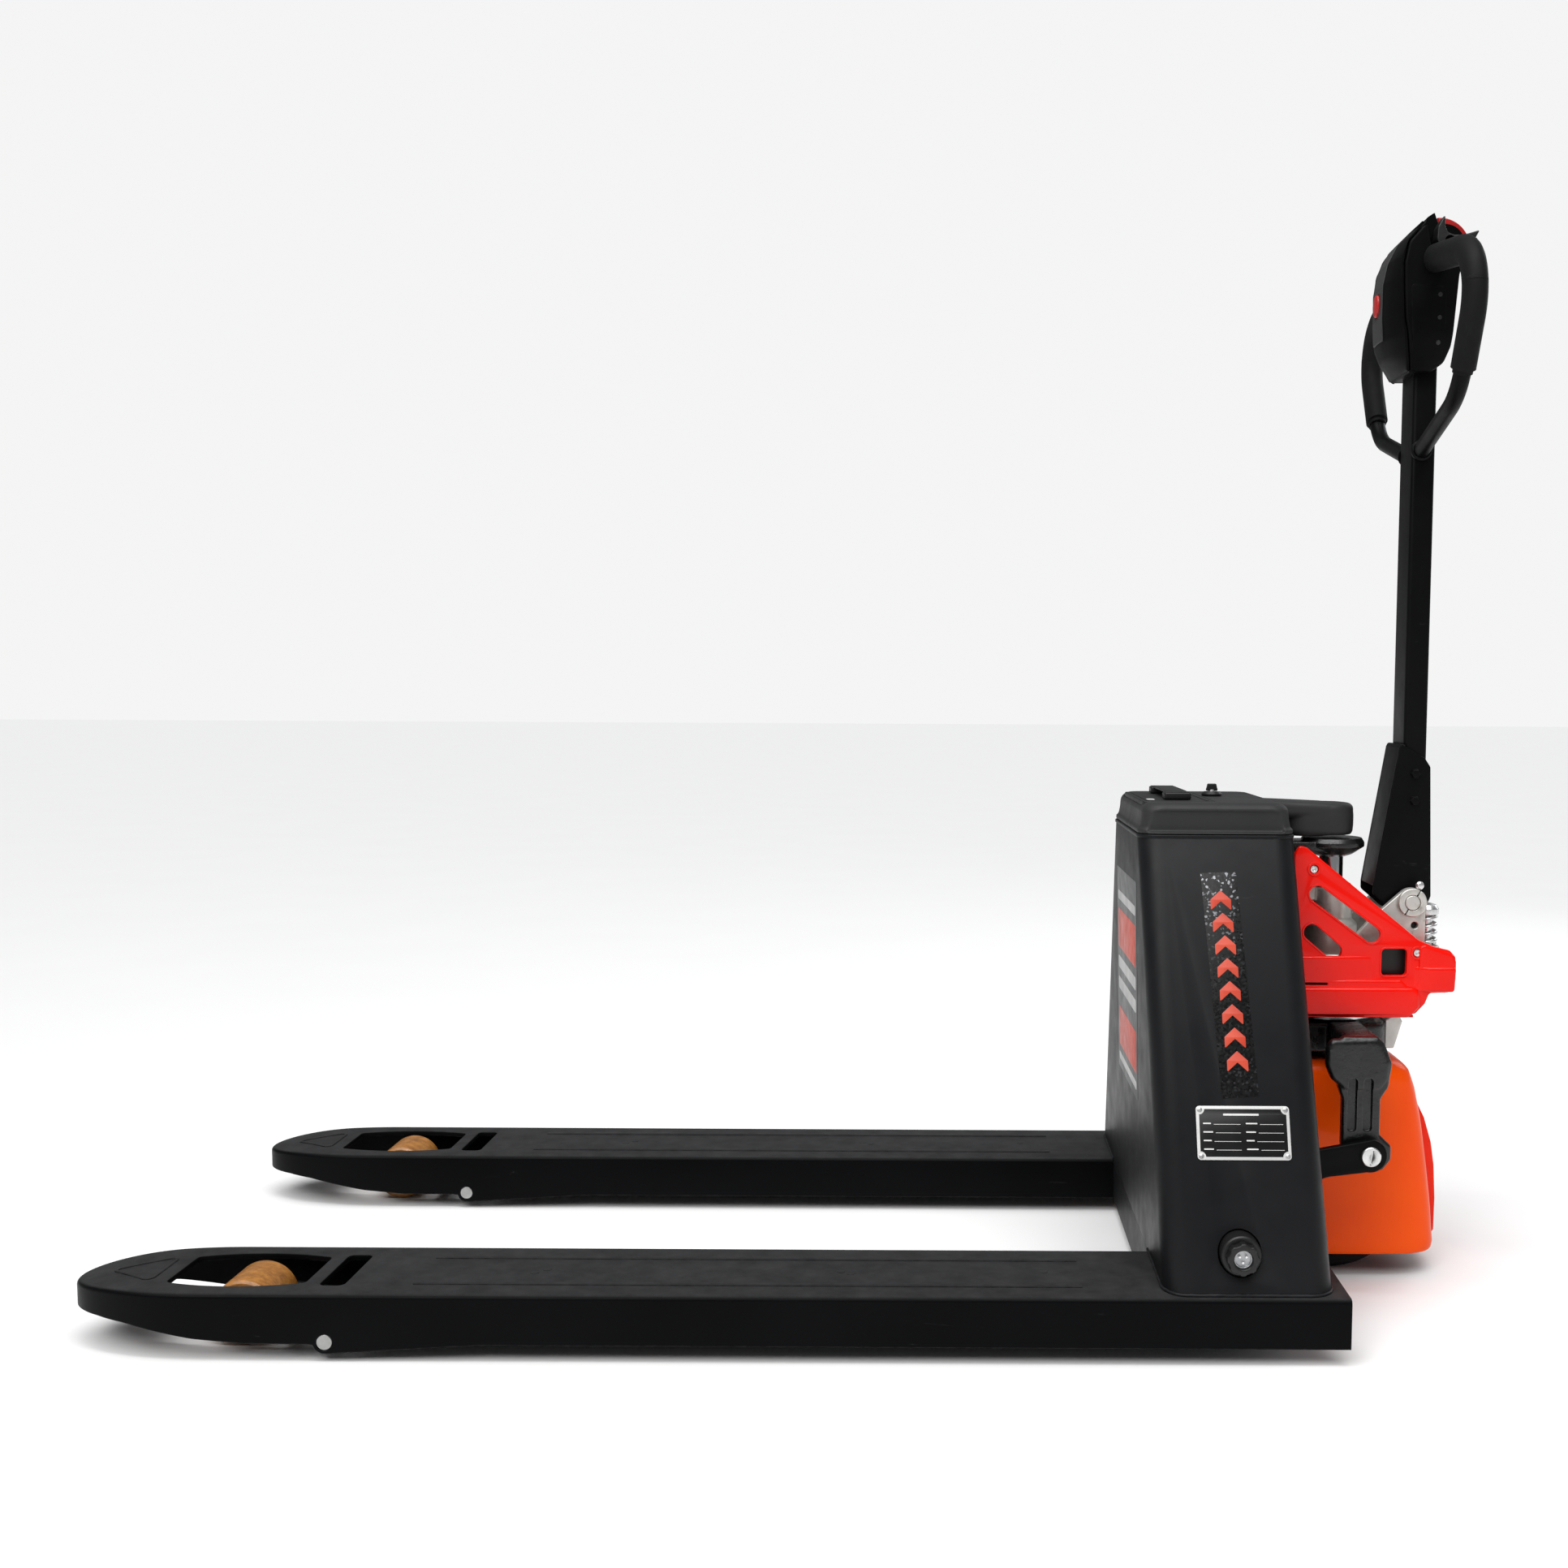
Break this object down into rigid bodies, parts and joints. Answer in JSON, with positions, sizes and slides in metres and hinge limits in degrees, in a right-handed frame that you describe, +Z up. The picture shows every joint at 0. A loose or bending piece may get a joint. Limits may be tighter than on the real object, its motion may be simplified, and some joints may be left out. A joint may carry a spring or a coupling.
{
  "type": "electric pallet truck",
  "caption": "Walk-behind pallet truck with electric drive wheel: two forks on load rollers, sloping battery box, steered drive unit and a tilting control tiller.",
  "frame": {"origin": "middle of the bounding box at floor level", "axes": "+Z up, forks point to -X, tiller at +X, left side of the truck at -Y"},
  "size_m": [1.6205, 0.685, 1.3188],
  "materials": {
    "black_powder_coat": "satin",
    "black_cast": "semi-gloss",
    "cover_plastic": "matte",
    "head_plastic": "matte",
    "grey_plastic": "matte",
    "red_plastic": "gloss",
    "orange_plastic": "satin",
    "button_red": "gloss",
    "zinc_cast": "satin",
    "bright_steel": "polished",
    "chrome": "polished",
    "polyurethane": "satin",
    "wheel_rubber": "matte",
    "foam": "matte",
    "motor_alloy": "satin",
    "battery_case": "matte"
  },
  "bodies": {
    "carriage": {"yoke": "black_cast", "thrust_bearing": "bright_steel", "stop_plate": "zinc_cast"},
    "steering": {"pump_body": "zinc_cast", "drive_bracket": "black_cast", "drive_axle": "bright_steel", "drive_hood": "orange_plastic", "hood_strip": "red_plastic", "side_cover_left": "red_plastic", "side_cover_right": "red_plastic", "tiller_pin": "bright_steel", "plunger_spring": "bright_steel"},
    "plunger": {"plunger": "bright_steel"},
    "drive_wheel": {"hub_motor": "motor_alloy", "drive_tyre": "wheel_rubber"},
    "tiller": {"tiller_bracket": "black_powder_coat", "tiller_tube": "black_powder_coat", "loop_left": "black_powder_coat", "loop_right": "black_powder_coat", "grip_left": "foam", "grip_right": "foam", "head_shell": "head_plastic", "head_front": "head_plastic", "head_strip": "grey_plastic"},
    "throttle": {"throttle": "head_plastic"},
    "belly_button": {"belly_button": "button_red"},
    "horn_button": {"horn_button": "button_red"},
    "fork_frame": {"fork_left": "black_powder_coat", "fork_right": "black_powder_coat", "fork_pin_left": "bright_steel", "fork_pin_right": "bright_steel", "cross_plate": "black_powder_coat", "battery_box": "black_powder_coat", "controller": "motor_alloy", "top_cover": "cover_plastic", "key_bezel": "head_plastic", "socket_body": "head_plastic", "socket_ring": "head_plastic", "socket_core": "bright_steel", "data_plate": "bright_steel", "lid_bar": "black_cast", "ram": "chrome"},
    "battery": {"battery_pack": "battery_case", "battery_handle": "foam"},
    "key": {"key": "head_plastic"},
    "rocker": {"rocker_shaft": "black_powder_coat", "rocker_arm_left": "black_powder_coat", "rocker_arm_right": "black_powder_coat", "yoke_pin_left": "bright_steel", "yoke_pin_right": "bright_steel"},
    "push_rod_left": {"push_rod_left": "black_powder_coat"},
    "push_rod_right": {"push_rod_right": "black_powder_coat"},
    "roller_bracket_left": {"roller_bracket_left": "black_powder_coat"},
    "roller_bracket_right": {"roller_bracket_right": "black_powder_coat"},
    "load_roller_left": {"load_roller_left": "polyurethane"},
    "load_roller_right": {"load_roller_right": "polyurethane"}
  },
  "joints": [
    {"name": "steer", "type": "hinge", "parent": "carriage", "child": "steering", "pos_m": [0.65875, 0, 0.3], "axis": [0, 0, 1], "range_deg": [-90, 90]},
    {"name": "lift", "type": "slide", "parent": "carriage", "child": "fork_frame", "axis": [0, 0, 1], "range_m": [0, 0.115]},
    {"name": "drive_wheel_spin", "type": "hinge", "parent": "steering", "child": "drive_wheel", "pos_m": [0.65875, 0, 0.105], "axis": [0, 1, 0], "continuous": true},
    {"name": "tiller_tilt", "type": "hinge", "parent": "steering", "child": "tiller", "pos_m": [0.74925, 0, 0.472], "axis": [0, 1, 0], "range_deg": [0, 75], "stiffness_Nm_per_rad": 25, "springref_deg": -20.05},
    {"name": "plunger_slide", "type": "slide", "parent": "steering", "child": "plunger", "axis": [0, 0, -1], "range_m": [0, 0.0241], "deforming": ["plunger_spring"]},
    {"name": "throttle_turn", "type": "hinge", "parent": "tiller", "child": "throttle", "pos_m": [0.76825, 0, 1.274], "axis": [0, 1, 0], "range_deg": [-30, 30], "stiffness_Nm_per_rad": 0.5},
    {"name": "belly_press", "type": "slide", "parent": "tiller", "child": "belly_button", "axis": [-0.6372, 0, -0.7707], "range_m": [0, 0.005], "stiffness_N_per_m": 800, "springref_m": -0.002},
    {"name": "horn_press", "type": "slide", "parent": "tiller", "child": "horn_button", "axis": [1, 0, 0], "range_m": [0, 0.003], "stiffness_N_per_m": 800, "springref_m": -0.002},
    {"name": "battery_lift", "type": "slide", "parent": "fork_frame", "child": "battery", "axis": [0, 0, 1], "range_m": [0, 0.3]},
    {"name": "key_turn", "type": "hinge", "parent": "fork_frame", "child": "key", "pos_m": [0.50835, 0.02, 0.6], "axis": [0, 0, 1], "range_deg": [0, 90]},
    {"name": "rocker_turn", "type": "hinge", "parent": "fork_frame", "child": "rocker", "pos_m": [0.51475, 0, 0.12], "axis": [0, 1, 0], "range_deg": [0, 39.7]},
    {"name": "push_rod_left_slide", "type": "slide", "parent": "fork_frame", "child": "push_rod_left", "axis": [-1, 0, 0], "range_m": [0, 0.0447]},
    {"name": "roller_bracket_left_turn", "type": "hinge", "parent": "fork_frame", "child": "roller_bracket_left", "pos_m": [-0.50725, -0.26425, 0.022], "axis": [0, -1, 0], "range_deg": [0, 76.1]},
    {"name": "load_roller_left_spin", "type": "hinge", "parent": "roller_bracket_left", "child": "load_roller_left", "pos_m": [-0.61425, -0.26425, 0.037], "axis": [0, 1, 0], "continuous": true},
    {"name": "push_rod_right_slide", "type": "slide", "parent": "fork_frame", "child": "push_rod_right", "axis": [-1, 0, 0], "range_m": [0, 0.0447]},
    {"name": "roller_bracket_right_turn", "type": "hinge", "parent": "fork_frame", "child": "roller_bracket_right", "pos_m": [-0.50725, 0.26425, 0.022], "axis": [0, -1, 0], "range_deg": [0, 76.1]},
    {"name": "load_roller_right_spin", "type": "hinge", "parent": "roller_bracket_right", "child": "load_roller_right", "pos_m": [-0.61425, 0.26425, 0.037], "axis": [0, 1, 0], "continuous": true}
  ],
  "couplings": [
    {"joint": "plunger_slide", "follows": "tiller_tilt", "m_per_rad": 0.01833},
    {"joint": "rocker_turn", "follows": "lift", "rad_per_m": 6.01},
    {"joint": "push_rod_left_slide", "follows": "lift", "ratio": 0.3878},
    {"joint": "roller_bracket_left_turn", "follows": "lift", "rad_per_m": 11.534},
    {"joint": "push_rod_right_slide", "follows": "lift", "ratio": 0.3878},
    {"joint": "roller_bracket_right_turn", "follows": "lift", "rad_per_m": 11.534}
  ]
}
